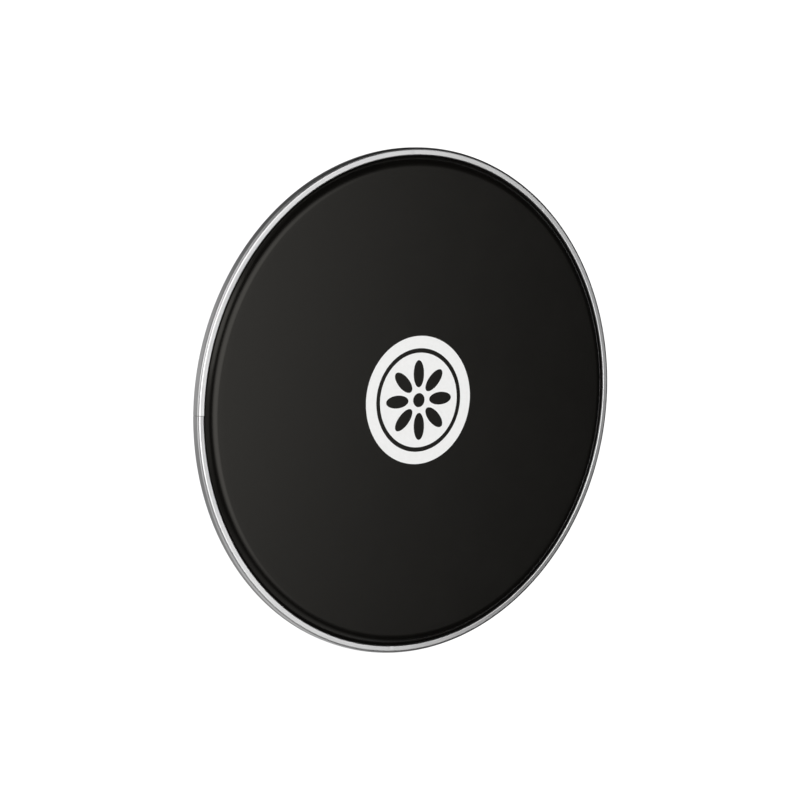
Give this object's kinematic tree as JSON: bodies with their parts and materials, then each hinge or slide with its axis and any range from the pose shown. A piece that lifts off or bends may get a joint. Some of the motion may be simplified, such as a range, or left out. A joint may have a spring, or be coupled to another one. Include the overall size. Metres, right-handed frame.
{
  "type": "drumhead",
  "caption": "Flat round hand-drum head: a black laminated membrane with a formed collar, bonded into a thin aluminium hoop, with a plain white printed roundel.",
  "frame": {"origin": "centre of the hoop's bottom plane, on the drum's axis", "axes": "+Z along the drum's axis, out of the playing surface; the hoop's butt joint is near -X, and +Y is the upright of the printed roundel"},
  "size_m": [0.316, 0.316, 0.0081],
  "materials": {
    "hoop_aluminium": "bright rolled, lightly scratched",
    "splice_steel": "mill",
    "napa": "satin synthetic leather with a very fine grain",
    "adhesive": "cured",
    "film": "black polyester film, semi-gloss",
    "wire_steel": "drawn wire",
    "resin": "cast, slightly uneven",
    "white_ink": "screen-printed ink, satin"
  },
  "bodies": {
    "root": {"flesh_hoop": "hoop_aluminium", "splice_key": "splice_steel", "napa_face": "napa", "laminating_adhesive": "adhesive", "base_film": "film", "lock_ring": "wire_steel", "bonding_resin": "resin", "printed_roundel": "white_ink"}
  },
  "joints": []
}
